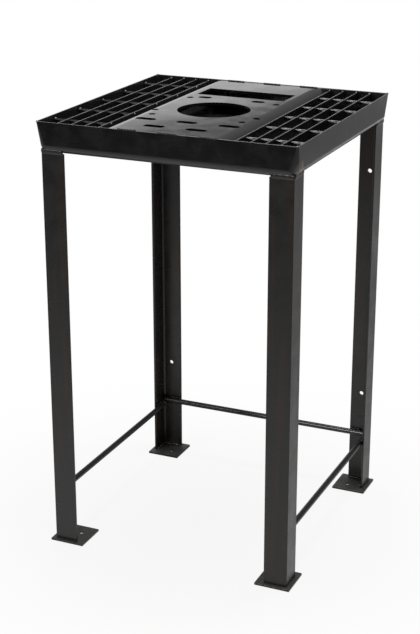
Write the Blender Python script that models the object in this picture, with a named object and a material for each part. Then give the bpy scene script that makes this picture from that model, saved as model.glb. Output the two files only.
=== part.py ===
"""Oil filter crusher stand: a drip pan on four angle-iron legs, a deck and two lift-out gratings."""
import bmesh
import bpy
from math import asin
from math import cos
from math import floor
from math import pi
from math import radians
from math import sin
from math import sqrt

# Sizes in metres, +Z up, floor at z = 0, front of the stand towards -Y.
STAND_H = 0.915
GAP = 0.0003
SHARP_ANGLE = radians(35)

# Drip pan: upright front and back walls, side walls that flare towards the rim.
RIM_W = 0.547
SIDE_FLARE = 0.0035
PAN_D = 0.547
PAN_H = 0.062
PAN_T = 0.003
PAN_BEND_R = 0.0175
PAN_CORNER_R = 0.006
PAN_INNER_CORNER_R = 0.001
DRAIN_BORE = 0.027
DRAIN_COUPLING_D = 0.042
DRAIN_COUPLING_L = 0.032

# Legs of equal angle iron, their outer faces set in from the pan's bottom edges.
LEG_INSET = 0.0045
LEG_A = 0.050
LEG_T = 0.0048
LEG_ROOT_R = 0.005
LEG_TOE_R = 0.0024
ANCHOR_HOLE_D = 0.0095
ANCHOR_HOLE_LOW_Z = 0.221
ANCHOR_HOLE_HIGH_Z = 0.744

# Square foot plates, each with one floor bolt hole inside the angle.
FOOT_SIZE = 0.076
FOOT_T = 0.0045
FOOT_OVERHANG = 0.0085
FOOT_HOLE_D = 0.010
FOOT_HOLE_IN = 0.048

# Round stretcher bars lapped on the inner faces of the leg flanges.
STRETCHER_D = 0.0127
SIDE_STRETCHER_Z = 0.115
BACK_STRETCHER_Z = 0.1245
SIDE_LAP = 0.026

# Deck: a plate with its long edges bent down in wide curves, stitch welded between the front and back walls.
DECK_W = 0.276
DECK_T = 0.006
DECK_DROP = 0.0010
DECK_FLOOR_GAP = 0.0185
DECK_BEND_R = 0.026
DECK_BEND_STEPS = 8
OPENING_D = 0.149
OPENING_Y = -0.0305
WINDOW_SIDE_MARGIN = 0.0395
WINDOW_D = 0.069
WINDOW_BEHIND_OPENING = 0.062
SLOT_W = 0.018
LONG_SLOT_L = 0.044
LONG_SLOT_EDGE = 0.049
LONG_SLOT_AHEAD = 0.0557
LONG_SLOT_ROW_STEP = 0.0549
SHORT_SLOT_L = 0.029
SHORT_SLOT_EDGE_LEFT = 0.070
SHORT_SLOT_EDGE_RIGHT = 0.086
SHORT_SLOT_BEHIND_OPENING = 0.035
BOLT_HOLE_D = 0.0145
REAR_HOLE_EDGE = 0.041
REAR_HOLE_BEHIND = 0.0975
MIDDLE_HOLE_EDGE = 0.0275
MIDDLE_HOLE_AHEAD = 0.0435
FRONT_HOLE_EDGE = 0.041
FRONT_HOLE_AHEAD = 0.0855

# Gratings: bearing bars on edge, twisted square cross rods through punched holes.
BARS = 4
BAR_PITCH = 0.03016
BAR_T = 0.0032
BAR_H = 0.0254
BAR_END_PLAY = 0.0015
DECK_TO_BAR = 0.005
GRATE_DROP = 0.0035
CROSS_PITCH = 0.1016
CROSS_SHIFT = -0.005
CROSS_END_MARGIN = 0.030
CROSS_SIDE = 0.00635
CROSS_DEPTH = 0.0060
CROSS_STICKOUT = 0.0025
CROSS_WALL_PLAY = 0.0012
TURNS_PER_PITCH = 0.25
TWIST_STEPS = 8

# Ledges under the bar ends, with a turned-up lip inside the first bar.
LEDGE_W = 0.020
LEDGE_T = 0.004
LEDGE_LIP_H = 0.010
LEDGE_LIP_T = 0.002
LEDGE_PLAY = 0.0006
LEDGE_WALL_GAP = 0.0008

# Weld beads.
STITCH_R = 0.0015
STITCH_L = 0.040
STITCHES = 3
STITCH_EDGE = 0.053
STITCH_SHIFT = 0.008
LEG_WELD_H = 0.006
LEG_WELD_T = 0.003
FOOT_BEAD_R = 0.0022
ROD_BEAD_R = 0.0022
ROD_BEAD_L = 0.022
BEAD_RESOLUTION = 2

# Heights and places that follow from the sizes above.
PAN_Z = STAND_H - PAN_H
FLOOR_W = RIM_W - 2 * SIDE_FLARE
LEAN = SIDE_FLARE / PAN_H
WALL_X_T = PAN_T * sqrt(1 + LEAN * LEAN)
WALL_Y_IN = PAN_D / 2 - PAN_T
LEG_X = FLOOR_W / 2 - LEG_INSET
LEG_Y = PAN_D / 2 - LEG_INSET
LEG_Z = FOOT_T + GAP
LEG_L = PAN_Z - GAP - LEG_Z
STRETCHER_R = STRETCHER_D / 2
DECK_TOP = STAND_H - DECK_DROP
DECK_HALF_L = WALL_Y_IN - GAP
DECK_FLANGE = PAN_H - PAN_T - DECK_DROP - DECK_FLOOR_GAP
BAR_TOP = STAND_H - GRATE_DROP
BAR_HALF_L = WALL_Y_IN - BAR_END_PLAY
CROSS_REACH = CROSS_SIDE / sqrt(2)
INNER_BAR_X = DECK_W / 2 + DECK_TO_BAR
LEDGE_DROP = GRATE_DROP + BAR_H + GAP

# Paint colours.
BLACK = (0.018, 0.018, 0.019)
DECK_BLACK = (0.030, 0.030, 0.031)
BEAD_BLACK = (0.022, 0.022, 0.022)


def clear_scene():
    for obj in list(bpy.data.objects):
        bpy.data.objects.remove(obj, do_unlink=True)


def place(obj, location, parent=None):
    bpy.context.scene.collection.objects.link(obj)
    obj.location = location
    obj.parent = parent
    return obj


def paint(obj, colour, roughness):
    material = bpy.data.materials.new(obj.name + "_paint")
    material.use_nodes = True
    shader = material.node_tree.nodes["Principled BSDF"]
    shader.inputs["Base Color"].default_value = (*colour, 1.0)
    shader.inputs["Roughness"].default_value = roughness
    obj.data.materials.append(material)


def object_from(bm, name, location, parent=None):
    bmesh.ops.recalc_face_normals(bm, faces=bm.faces)
    mesh = bpy.data.meshes.new(name)
    bm.to_mesh(mesh)
    bm.free()
    mesh.shade_smooth()
    mesh.set_sharp_from_angle(angle=SHARP_ANGLE)
    return place(bpy.data.objects.new(name, mesh), location, parent)


def cut(obj, bm):
    """Cuts the shapes in bm, given in obj's own coordinates, from obj."""
    cutter = object_from(bm, obj.name + "_cutter", (0, 0, 0), obj)
    cutter.hide_render = True
    cutter.display_type = "WIRE"
    modifier = obj.modifiers.new("holes", "BOOLEAN")
    modifier.operation = "DIFFERENCE"
    modifier.solver = "EXACT"
    modifier.object = cutter


def add_loft(bm, loops):
    """Joins loops of equally many points by quads and closes both ends."""
    rings = [[bm.verts.new(point) for point in loop] for loop in loops]
    count = len(rings[0])
    for low, high in zip(rings, rings[1:]):
        for i in range(count):
            j = (i + 1) % count
            bm.faces.new((low[i], low[j], high[j], high[i]))
    bm.faces.new(list(reversed(rings[0])))
    bm.faces.new(rings[-1])


def arc(steps=4):
    """Cosine and sine at equal steps of a quarter turn."""
    return [(cos(pi / 2 * i / steps), sin(pi / 2 * i / steps)) for i in range(steps + 1)]


def rounded_rectangle(half_x, half_y, radius, z):
    points = []
    for sx, sy in ((1, 1), (-1, 1), (-1, -1), (1, -1)):
        for c, s in arc() if sx == sy else reversed(arc()):
            points.append((sx * (half_x - radius + radius * c), sy * (half_y - radius + radius * s), z))
    return points


def add_box(bm, low, high):
    corners = [(low[0], low[1]), (high[0], low[1]), (high[0], high[1]), (low[0], high[1])]
    add_loft(bm, [[(x, y, z) for x, y in corners] for z in (low[2], high[2])])


def add_cylinder(bm, centre, radius, axis, half, sides):
    """A cylinder along axis 0, 1 or 2, reaching half to both sides of its centre."""
    loops = []
    for end in (-half, half):
        loop = []
        for i in range(sides):
            angle = 2 * pi * (i + 0.5) / sides
            point = list(centre)
            point[axis] += end
            point[(axis + 1) % 3] += radius * cos(angle)
            point[(axis + 2) % 3] += radius * sin(angle)
            loop.append(point)
        loops.append(loop)
    add_loft(bm, loops)


def add_slot(bm, x, y, z, length, half):
    """A round-ended slot cutter along X."""
    loops = []
    for level in (z - half, z + half):
        outline = rounded_rectangle(length / 2, SLOT_W / 2, SLOT_W / 2 - GAP, level)
        loops.append([(x + px, y + py, pz) for px, py, pz in outline])
    add_loft(bm, loops)


def corner_name(sx, sy):
    return ("front" if sy < 0 else "rear") + ("_left" if sx < 0 else "_right")


def inner_wall_x(drop):
    """Inner half width of the pan at a depth below its rim."""
    return RIM_W / 2 - LEAN * drop - WALL_X_T


def make_pan():
    loops = []
    for c, s in arc(5):
        z = PAN_BEND_R * (1 - c)
        back = PAN_BEND_R * (1 - s)
        half_x = FLOOR_W / 2 + LEAN * z
        loops.append(rounded_rectangle(half_x - back, PAN_D / 2 - back, PAN_CORNER_R, z))
    loops.append(rounded_rectangle(RIM_W / 2, PAN_D / 2, PAN_CORNER_R, PAN_H))
    loops.append(rounded_rectangle(inner_wall_x(0), WALL_Y_IN, PAN_INNER_CORNER_R, PAN_H))
    inner_bend = PAN_BEND_R - PAN_T
    for c, s in reversed(arc(5)):
        z = PAN_T + inner_bend * (1 - c)
        back = inner_bend * (1 - s)
        half_x = inner_wall_x(PAN_H - z)
        loops.append(rounded_rectangle(half_x - back, WALL_Y_IN - back, PAN_INNER_CORNER_R, z))
    bm = bmesh.new()
    add_loft(bm, loops)
    pan = object_from(bm, "drip_pan", (0, 0, PAN_Z))
    bm = bmesh.new()
    add_cylinder(bm, (0, 0, 0), DRAIN_BORE / 2, 2, 3 * PAN_T, 24)
    cut(pan, bm)
    paint(pan, BLACK, 0.35)


def make_drain():
    """A threaded pipe coupling under the hole in the pan's floor."""
    half = DRAIN_COUPLING_L / 2
    bm = bmesh.new()
    add_cylinder(bm, (0, 0, -half), DRAIN_COUPLING_D / 2, 2, half, 24)
    coupling = object_from(bm, "drain_coupling", (0, 0, PAN_Z - GAP))
    bm = bmesh.new()
    add_cylinder(bm, (0, 0, -half), DRAIN_BORE / 2, 2, 2 * half, 24)
    cut(coupling, bm)
    paint(coupling, BLACK, 0.4)


def add_deck_cutters(bm):
    """The deck's openings, bolt slots and bolt holes, all running past both of its faces."""
    z = -DECK_T / 2
    half = 2 * DECK_T
    add_cylinder(bm, (0, OPENING_Y, z), OPENING_D / 2, 2, half, 48)
    opening_back = OPENING_Y + OPENING_D / 2
    opening_front = OPENING_Y - OPENING_D / 2
    window_x = DECK_W / 2 - WINDOW_SIDE_MARGIN
    window_y = opening_back + WINDOW_BEHIND_OPENING
    add_box(bm, (-window_x, window_y, z - half), (window_x, window_y + WINDOW_D, z + half))
    slot_x = DECK_W / 2 - LONG_SLOT_EDGE
    row_y = opening_front - LONG_SLOT_AHEAD
    for x in (-slot_x, 0, slot_x):
        add_slot(bm, x, row_y, z, LONG_SLOT_L, half)
    for x in (-slot_x / 2, slot_x / 2):
        add_slot(bm, x, row_y - LONG_SLOT_ROW_STEP, z, LONG_SLOT_L, half)
    for x in (SHORT_SLOT_EDGE_LEFT - DECK_W / 2, DECK_W / 2 - SHORT_SLOT_EDGE_RIGHT):
        add_slot(bm, x, opening_back + SHORT_SLOT_BEHIND_OPENING, z, SHORT_SLOT_L, half)
    holes = ((REAR_HOLE_EDGE, REAR_HOLE_BEHIND), (MIDDLE_HOLE_EDGE, -MIDDLE_HOLE_AHEAD))
    for edge, ahead in (*holes, (FRONT_HOLE_EDGE, -FRONT_HOLE_AHEAD)):
        for side in (-1, 1):
            centre = (side * (DECK_W / 2 - edge), OPENING_Y + ahead, z)
            add_cylinder(bm, centre, BOLT_HOLE_D / 2, 2, half, 12)


def deck_bends(radius):
    """Both long bends of the deck at one radius, from the right flange over the flat to the left one."""
    flat = DECK_W / 2 - DECK_BEND_R
    right = [(flat + radius * c, radius * s - DECK_BEND_R) for c, s in arc(DECK_BEND_STEPS)]
    return right + [(-x, z) for x, z in reversed(right)]


def make_deck():
    """An inverted channel, cut off square where its ends meet the pan's walls."""
    half = DECK_W / 2
    outline = [(half, -DECK_FLANGE), *deck_bends(DECK_BEND_R), (-half, -DECK_FLANGE)]
    outline += [(DECK_T - half, -DECK_FLANGE), *reversed(deck_bends(DECK_BEND_R - DECK_T))]
    outline.append((half - DECK_T, -DECK_FLANGE))
    bm = bmesh.new()
    add_loft(bm, [[(x, y, z) for x, z in outline] for y in (-DECK_HALF_L, DECK_HALF_L)])
    deck = object_from(bm, "deck_plate", (0, 0, DECK_TOP))
    bm = bmesh.new()
    add_deck_cutters(bm)
    cut(deck, bm)
    paint(deck, DECK_BLACK, 0.32)


def angle_outline():
    """Section of the angle iron, measured inwards from its outer corner."""
    outline = [(0, 0), (LEG_A, 0)]
    for c, s in arc():
        outline.append((LEG_A - LEG_TOE_R * (1 - c), LEG_T - LEG_TOE_R * (1 - s)))
    root = LEG_T + LEG_ROOT_R
    for c, s in arc():
        outline.append((root - LEG_ROOT_R * s, root - LEG_ROOT_R * c))
    for c, s in arc():
        outline.append((LEG_T - LEG_TOE_R * (1 - c), LEG_A - LEG_TOE_R * (1 - s)))
    outline.append((0, LEG_A))
    return outline


def make_leg(sx, sy):
    bm = bmesh.new()
    add_loft(bm, [[(-sx * u, -sy * v, z) for u, v in angle_outline()] for z in (0, LEG_L)])
    leg = object_from(bm, "leg_" + corner_name(sx, sy), (sx * LEG_X, sy * LEG_Y, LEG_Z))
    if sy > 0:
        bm = bmesh.new()
        for z in (ANCHOR_HOLE_LOW_Z, ANCHOR_HOLE_HIGH_Z):
            add_cylinder(bm, (-sx * LEG_A / 2, 0, z - LEG_Z), ANCHOR_HOLE_D / 2, 1, 2 * LEG_T, 16)
        cut(leg, bm)
    paint(leg, BLACK, 0.38)


def make_foot(sx, sy):
    half = FOOT_SIZE / 2
    middle = (sx * (LEG_X + FOOT_OVERHANG - half), sy * (LEG_Y + FOOT_OVERHANG - half), 0)
    bm = bmesh.new()
    add_box(bm, (-half, -half, 0), (half, half, FOOT_T))
    foot = object_from(bm, "foot_" + corner_name(sx, sy), middle)
    bm = bmesh.new()
    inward = half - FOOT_HOLE_IN
    add_cylinder(bm, (sx * inward, sy * inward, 0), FOOT_HOLE_D / 2, 2, 2 * FOOT_T, 16)
    cut(foot, bm)
    paint(foot, BLACK, 0.4)


def make_stretcher(name, axis, half, location):
    bm = bmesh.new()
    add_cylinder(bm, (0, 0, 0), STRETCHER_R, axis, half, 20)
    paint(object_from(bm, name, location), BLACK, 0.36)


def make_stretchers():
    inside = LEG_T + GAP + STRETCHER_R
    side_half = LEG_Y - LEG_A + SIDE_LAP
    make_stretcher("stretcher_left", 1, side_half, (inside - LEG_X, 0, SIDE_STRETCHER_Z))
    make_stretcher("stretcher_right", 1, side_half, (LEG_X - inside, 0, SIDE_STRETCHER_Z))
    back_half = LEG_X - LEG_T - LEG_ROOT_R - GAP
    make_stretcher("stretcher_back", 0, back_half, (0, LEG_Y - inside, BACK_STRETCHER_Z))


def cross_rod_places():
    """Places of the cross rods along the bars, spread both ways from the shifted middle."""
    to_each_side = floor((BAR_HALF_L - abs(CROSS_SHIFT) - CROSS_END_MARGIN) / CROSS_PITCH)
    return [CROSS_SHIFT + i * CROSS_PITCH for i in range(-to_each_side, to_each_side + 1)]


def make_bar(name, x, grating):
    bm = bmesh.new()
    add_box(bm, (-BAR_T / 2, -BAR_HALF_L, -BAR_H), (BAR_T / 2, BAR_HALF_L, 0))
    bar = object_from(bm, name, (x, 0, 0), grating)
    bm = bmesh.new()
    for y in cross_rod_places():
        add_cylinder(bm, (0, y, -CROSS_DEPTH), CROSS_REACH + GAP, 0, 2 * BAR_T, 16)
    cut(bar, bm)
    paint(bar, DECK_BLACK, 0.34)


def make_cross_rod(name, side, y, grating):
    """A twisted square rod, from just inside the first bar to just short of the side wall."""
    start = -BAR_T / 2 - CROSS_STICKOUT
    end = inner_wall_x(GRATE_DROP + CROSS_DEPTH + CROSS_REACH) - CROSS_WALL_PLAY - INNER_BAR_X
    count = round((end - start) / BAR_PITCH * TWIST_STEPS)
    loops = []
    for k in range(count + 1):
        x = start + (end - start) * k / count
        turn = 2 * pi * TURNS_PER_PITCH * x / BAR_PITCH
        angles = [turn + pi / 4 + q * pi / 2 for q in range(4)]
        loops.append([(side * x, CROSS_REACH * cos(a), CROSS_REACH * sin(a)) for a in angles])
    bm = bmesh.new()
    add_loft(bm, loops)
    paint(object_from(bm, name, (0, y, -CROSS_DEPTH), grating), DECK_BLACK, 0.34)


def make_grating(side, name):
    """One lift-out grating under an empty on its first bar, which carries its lifting axis."""
    grating = place(bpy.data.objects.new(name + "_grating", None), (side * INNER_BAR_X, 0, BAR_TOP))
    for i in range(BARS):
        make_bar(name + "_bearing_bar_" + str(i + 1), side * i * BAR_PITCH, grating)
    for i, y in enumerate(cross_rod_places()):
        make_cross_rod(name + "_cross_rod_" + str(i + 1), side, y, grating)


def make_ledge(sx, sy):
    """A flat under the bar ends, from the side wall to a turned-up end beside the first bar."""
    lip = -BAR_T / 2 - LEDGE_PLAY
    end = inner_wall_x(LEDGE_DROP + LEDGE_T) - LEDGE_WALL_GAP - INNER_BAR_X
    outline = [(lip - LEDGE_LIP_T, -LEDGE_T), (end, -LEDGE_T), (end, 0)]
    outline += [(lip, 0), (lip, LEDGE_LIP_H), (lip - LEDGE_LIP_T, LEDGE_LIP_H)]
    bm = bmesh.new()
    add_loft(bm, [[(sx * x, -sy * y, z) for x, z in outline] for y in (0, LEDGE_W)])
    location = (sx * INNER_BAR_X, sy * (WALL_Y_IN - GAP), STAND_H - LEDGE_DROP)
    paint(object_from(bm, "ledge_" + corner_name(sx, sy), location), BLACK, 0.4)


def make_bead(name, points, radius):
    """A weld bead along a line of points, starting at the first of them."""
    curve = bpy.data.curves.new(name, "CURVE")
    curve.dimensions = "3D"
    curve.bevel_depth = radius
    curve.bevel_resolution = BEAD_RESOLUTION
    curve.use_fill_caps = True
    spline = curve.splines.new("POLY")
    spline.points.add(len(points) - 1)
    start = points[0]
    for knot, point in zip(spline.points, points):
        knot.co = (*(a - b for a, b in zip(point, start)), 1.0)
    paint(place(bpy.data.objects.new(name, curve), start), BEAD_BLACK, 0.3)


def groove_rise(round_r, bead_r):
    """Height of a bead over the centre of a round edge GAP away from the wall that both touch."""
    near = round_r - bead_r
    far = round_r + GAP + bead_r
    return sqrt(far * far - near * near)


def make_deck_welds():
    """Beads on the deck's two ends, laid against the inner edges of the walls' tops."""
    z = DECK_TOP + GAP + STITCH_R
    reach = GAP + STITCH_R
    rise = z - STAND_H
    y = WALL_Y_IN - sqrt(reach * reach - rise * rise)
    spread = DECK_W / 2 - STITCH_EDGE
    for sy, name in ((-1, "front"), (1, "back")):
        for i in range(STITCHES):
            x = STITCH_SHIFT + spread * (2 * i / (STITCHES - 1) - 1)
            ends = [(x - STITCH_L / 2, sy * y, z), (x + STITCH_L / 2, sy * y, z)]
            make_bead("deck_weld_" + name + "_" + str(i + 1), ends, STITCH_R)


def leg_weld_section():
    """Section of the weld in the crook under the pan's bend: distance out from a leg's face, and height."""
    reach = PAN_BEND_R + GAP
    inward = PAN_BEND_R - LEG_INSET
    low = asin((inward + GAP) / reach)
    high = asin((inward + LEG_WELD_T) / reach)
    section = [(GAP, -LEG_WELD_H)]
    for i in range(4):
        angle = low + (high - low) * i / 3
        height = PAN_BEND_R - reach * cos(angle)
        section.append((reach * sin(angle) - inward + LEAN * height, height))
    section.append((LEG_WELD_T - GAP, -LEG_WELD_H / 3))
    return section


def make_leg_welds(sx, sy):
    """A weld round a leg's two outer faces, mitred at its outer corner."""
    reach = LEG_A - LEG_TOE_R
    section = leg_weld_section()
    loops = [[(-sx * reach, sy * out, z) for out, z in section]]
    loops.append([(sx * out, sy * out, z) for out, z in section])
    loops.append([(sx * out, -sy * reach, z) for out, z in section])
    bm = bmesh.new()
    add_loft(bm, loops)
    weld = object_from(bm, "leg_weld_" + corner_name(sx, sy), (sx * LEG_X, sy * LEG_Y, PAN_Z))
    paint(weld, BEAD_BLACK, 0.3)


def make_foot_welds(sx, sy):
    inside = LEG_T + GAP + FOOT_BEAD_R
    z = FOOT_T + GAP + FOOT_BEAD_R
    x = LEG_X - inside
    y = LEG_Y - inside
    toe = LEG_A - FOOT_BEAD_R
    path = [(LEG_X - toe, y, z), (x - LEG_ROOT_R, y, z), (x, y - LEG_ROOT_R, z), (x, LEG_Y - toe, z)]
    make_bead("foot_weld_" + corner_name(sx, sy), [(sx * a, sy * b, c) for a, b, c in path], FOOT_BEAD_R)


def make_stretcher_welds():
    """Beads in the grooves above the stretchers, along the leg flanges that they lap."""
    rise = groove_rise(STRETCHER_R, ROD_BEAD_R)
    out = LEG_T + GAP + ROD_BEAD_R
    toe = LEG_A - LEG_TOE_R
    for sx, side in ((-1, "left"), (1, "right")):
        x = sx * (LEG_X - out)
        z = SIDE_STRETCHER_Z + rise
        for sy, end in ((-1, "front"), (1, "rear")):
            ys = (sy * (LEG_Y - toe), sy * (LEG_Y - toe + ROD_BEAD_L))
            make_bead("stretcher_weld_" + side + "_" + end, [(x, y, z) for y in ys], ROD_BEAD_R)
        xs = (sx * (LEG_X - toe), sx * (LEG_X - toe + ROD_BEAD_L))
        ends = [(x, LEG_Y - out, BACK_STRETCHER_Z + rise) for x in xs]
        make_bead("stretcher_weld_back_" + side, ends, ROD_BEAD_R)


def build():
    clear_scene()
    make_pan()
    make_drain()
    make_deck()
    make_deck_welds()
    for sx in (-1, 1):
        for sy in (-1, 1):
            make_leg(sx, sy)
            make_foot(sx, sy)
            make_ledge(sx, sy)
            make_leg_welds(sx, sy)
            make_foot_welds(sx, sy)
    make_stretchers()
    make_stretcher_welds()
    make_grating(-1, "left")
    make_grating(1, "right")


build()
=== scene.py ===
# %% [markdown]
# # Oil filter crusher stand
# The stand is a workshop piece: a square drip pan on four angle-iron legs, with a slotted deck that
# carries a press and a lift-out bar grating on each side of it. The CAD model already has every solid in
# its place. This lesson gives each of them the rounded edges, weld ripples and black enamel that the
# real stand has.
#
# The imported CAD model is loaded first. All measures are in metres, in the frame of the CAD model: the
# floor is at Z 0, the front looks along -Y, and a finished piece keeps its place in its mesh, not in its
# object.

from math import pi, radians, sin

import bmesh
import bpy
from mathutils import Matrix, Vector


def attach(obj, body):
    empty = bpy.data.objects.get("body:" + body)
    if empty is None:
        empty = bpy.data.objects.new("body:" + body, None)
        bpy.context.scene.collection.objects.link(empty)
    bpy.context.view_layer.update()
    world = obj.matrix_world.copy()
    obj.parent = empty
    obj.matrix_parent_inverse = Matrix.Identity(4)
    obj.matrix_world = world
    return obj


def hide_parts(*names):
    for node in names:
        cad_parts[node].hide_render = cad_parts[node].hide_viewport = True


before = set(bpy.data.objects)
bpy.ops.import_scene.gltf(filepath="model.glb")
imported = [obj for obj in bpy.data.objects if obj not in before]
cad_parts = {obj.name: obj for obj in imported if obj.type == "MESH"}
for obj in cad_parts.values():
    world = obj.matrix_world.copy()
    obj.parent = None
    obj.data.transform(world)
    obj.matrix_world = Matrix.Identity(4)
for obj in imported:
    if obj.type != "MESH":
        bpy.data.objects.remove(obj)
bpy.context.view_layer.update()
scene = bpy.context.scene

# %% [markdown]
# ## Camera
# The camera stands in front on the right and looks down on the pan. A view camera with its film upright
# and its lens slid far down would keep the uprights parallel. Blender's lens shift does the same, but a
# shift that large stays on when the camera is moved round the object, and pushes it out of the picture.
# So there is no shift here, and the legs draw together a little towards the floor.

# %% Camera
EYE = (1.1745, -2.7128, 1.5237)
CAMERA_TURN = radians(23.80)
CAMERA_TILT = radians(19.81)
SENSOR = 36
LENS = 83.2

camera = bpy.data.objects.new("camera", bpy.data.cameras.new("camera"))
camera.data.sensor_width = SENSOR
camera.data.lens = LENS
camera.location = EYE
camera.rotation_euler = (pi / 2 - CAMERA_TILT, 0, CAMERA_TURN)
scene.collection.objects.link(camera)
scene.camera = camera
scene.view_settings.view_transform = "Standard"
print("lens", round(camera.data.lens, 2), "mm")

# %% [markdown]
# ## Nodes without clicking
# Materials, the world and node groups are all node trees. These helpers add one node, set its options,
# and fill or link its inputs, so that the trees below read from the textures down to the shader.


# %% Node helpers
def add_node(tree, kind, inputs=None, **options):
    made = tree.nodes.new(kind)
    for option, value in options.items():
        setattr(made, option, value)
    for socket, value in (inputs or {}).items():
        if isinstance(value, bpy.types.NodeSocket):
            tree.links.new(value, made.inputs[socket])
        else:
            made.inputs[socket].default_value = value
    return made


def ramp_value(tree, value, low, high, start=0.0, end=1.0, shape="SMOOTHSTEP"):
    """A step of a value, from start at low to end at high."""
    limits = {"Value": value, "From Min": low, "From Max": high, "To Min": start, "To Max": end}
    return add_node(tree, "ShaderNodeMapRange", limits, interpolation_type=shape).outputs["Result"]


def times(tree, a, b):
    return add_node(tree, "ShaderNodeMath", {0: a, 1: b}, operation="MULTIPLY").outputs[0]


def plus(tree, a, b):
    return add_node(tree, "ShaderNodeMath", {0: a, 1: b}, operation="ADD").outputs[0]


def greater(tree, a, b):
    return add_node(tree, "ShaderNodeMath", {0: a, 1: b}, operation="MAXIMUM").outputs[0]


def mix_value(tree, factor, a, b):
    return add_node(tree, "ShaderNodeMix", {"Factor": factor, "A": a, "B": b}).outputs["Result"]


def mix_colour(tree, factor, a, b):
    mixer = add_node(tree, "ShaderNodeMix", {"Factor": factor, 6: a, 7: b}, data_type="RGBA")
    return mixer.outputs[2]


def noise(tree, place, scale, detail, **more):
    inputs = {"Vector": place, "Scale": scale, "Detail": detail, **more}
    return add_node(tree, "ShaderNodeTexNoise", inputs).outputs["Fac"]


def distance(tree, place, point):
    inputs = {0: place, 1: point}
    return add_node(tree, "ShaderNodeVectorMath", inputs, operation="DISTANCE").outputs["Value"]


def stretched(tree, place, factors):
    inputs = {0: place, 1: factors}
    return add_node(tree, "ShaderNodeVectorMath", inputs, operation="MULTIPLY").outputs[0]


def one_axis(tree, vector, axis):
    return add_node(tree, "ShaderNodeSeparateXYZ", {"Vector": vector}).outputs[axis]


def object_place(tree):
    return add_node(tree, "ShaderNodeTexCoord").outputs["Object"]


print("node helpers ready")

# %% [markdown]
# ## Studio
# Black gloss paint has next to no colour of its own: what is seen in it is the room. The deck is bright
# where it mirrors a white backdrop at the back, and dark where the mirrored ray passes over the
# backdrop's top edge, which slopes down to the right. The room behind the camera gives little light, so
# the front of the pan is nearly black, but it shows in the gloss when the stand is seen from the back.
# The world holds this room as a function of direction, and Is Camera Ray gives the plain white ground of
# the picture.

# %% World
BACKDROP_EDGE = (0.2716, -0.1204, 1.0467)
BACKDROP_LEVEL = 1.05

scene.world = bpy.data.worlds.new("studio")
scene.world.use_nodes = True
room = scene.world.node_tree
room.nodes.clear()
sight = add_node(room, "ShaderNodeTexCoord").outputs["Generated"]
sight_y = one_axis(room, sight, "Y")
sight_z = one_axis(room, sight, "Z")
edge_inputs = {0: sight, 1: BACKDROP_EDGE}
above_edge = add_node(room, "ShaderNodeVectorMath", edge_inputs, operation="DOT_PRODUCT").outputs["Value"]
under_edge = ramp_value(room, above_edge, -0.0045, 0.0035, 1, 0)
backdrop = times(room, under_edge, ramp_value(room, sight_y, -0.05, 0.45))
ceiling = ramp_value(room, sight_z, 0.2, 1.0, 0.21, 0.42)
ray = add_node(room, "ShaderNodeLightPath").outputs
front_level = ramp_value(room, ray["Is Glossy Ray"], 0, 1, 0.15, 1.3, "LINEAR")
dim_front = times(room, ceiling, ramp_value(room, sight_y, -0.4, 0.3, front_level, 1.0))
seen_room = mix_value(room, backdrop, dim_front, BACKDROP_LEVEL)
strength = mix_value(room, ray["Is Camera Ray"], seen_room, 1.0)
sky = add_node(room, "ShaderNodeBackground", {"Color": (1, 1, 1, 1), "Strength": strength})
add_node(room, "ShaderNodeOutputWorld", {"Surface": sky.outputs["Background"]})
print("world nodes:", len(room.nodes))

# %% [markdown]
# The floor is a plain pale sheet. The camera sees it as white, with a part of its shading left in near
# the stand so that the feet cast a soft shadow. Mirrored rays see a pool of light round the stand that
# fades with distance, which is what grades the legs from light at the feet to dark at the top. A small
# bright patch lies behind the stand, and a wide shade to the left of that. Far behind, the floor turns
# into the foot of the bright backdrop, and far in front into the dark end of the room.

# %% Floor
POOL_MIDDLE = (-0.3, -0.5, 0)
SHADE_MIDDLE = (-0.8, 0.9, 0)
PATCH_MIDDLE = (0.1, 2.5, 0)
PAPER_DARK = (0.86, 0.86, 0.86, 1)
PAPER_PALE = (0.9, 0.9, 0.9, 1)

bpy.ops.object.select_all(action="DESELECT")
bpy.ops.mesh.primitive_plane_add(size=30)
floor = bpy.context.object
floor.name = "floor"
floor_paper = bpy.data.materials.new("floor_paper")
floor_paper.use_nodes = True
paper = floor_paper.node_tree
paper.nodes.clear()
spot = object_place(paper)
reach = add_node(paper, "ShaderNodeVectorMath", {0: spot}, operation="LENGTH").outputs["Value"]
whiteness = ramp_value(paper, reach, 0.35, 0.9, 0.90, 1.0)
ray = add_node(paper, "ShaderNodeLightPath").outputs
mirrored = greater(paper, ray["Is Glossy Ray"], ray["Is Transmission Ray"])
share = greater(paper, times(paper, ray["Is Camera Ray"], whiteness), mirrored)
from_middle = distance(paper, spot, POOL_MIDDLE)
near_light = ramp_value(paper, from_middle, 0, 1.3, 0.37, 0, "LINEAR")
far_light = ramp_value(paper, from_middle, 1.3, 3.4, 0.58, 0.29, "LINEAR")
depth = one_axis(paper, spot, "Y")
from_patch = distance(paper, spot, PATCH_MIDDLE)
patch_light = ramp_value(paper, from_patch, 0.5, 0.95, 0.6, 0)
pool = plus(paper, plus(paper, near_light, far_light), patch_light)
pool = times(paper, pool, ramp_value(paper, depth, -3.6, -2.0, 0.05, 1.0))
from_shade = distance(paper, spot, SHADE_MIDDLE)
pool = times(paper, pool, ramp_value(paper, from_shade, 0.7, 1.3, 0.15, 1.0))
foot_of_backdrop = ramp_value(paper, depth, 4.0, 5.5)
pool = mix_value(paper, foot_of_backdrop, pool, 0.98)
glow = mix_value(paper, mirrored, 1.0, pool)
pale = mix_colour(paper, noise(paper, spot, 6.0, 3.0), PAPER_DARK, PAPER_PALE)
lit = add_node(paper, "ShaderNodeBsdfDiffuse", {"Color": pale})
white = add_node(paper, "ShaderNodeEmission", {"Color": (1, 1, 1, 1), "Strength": glow})
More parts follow.
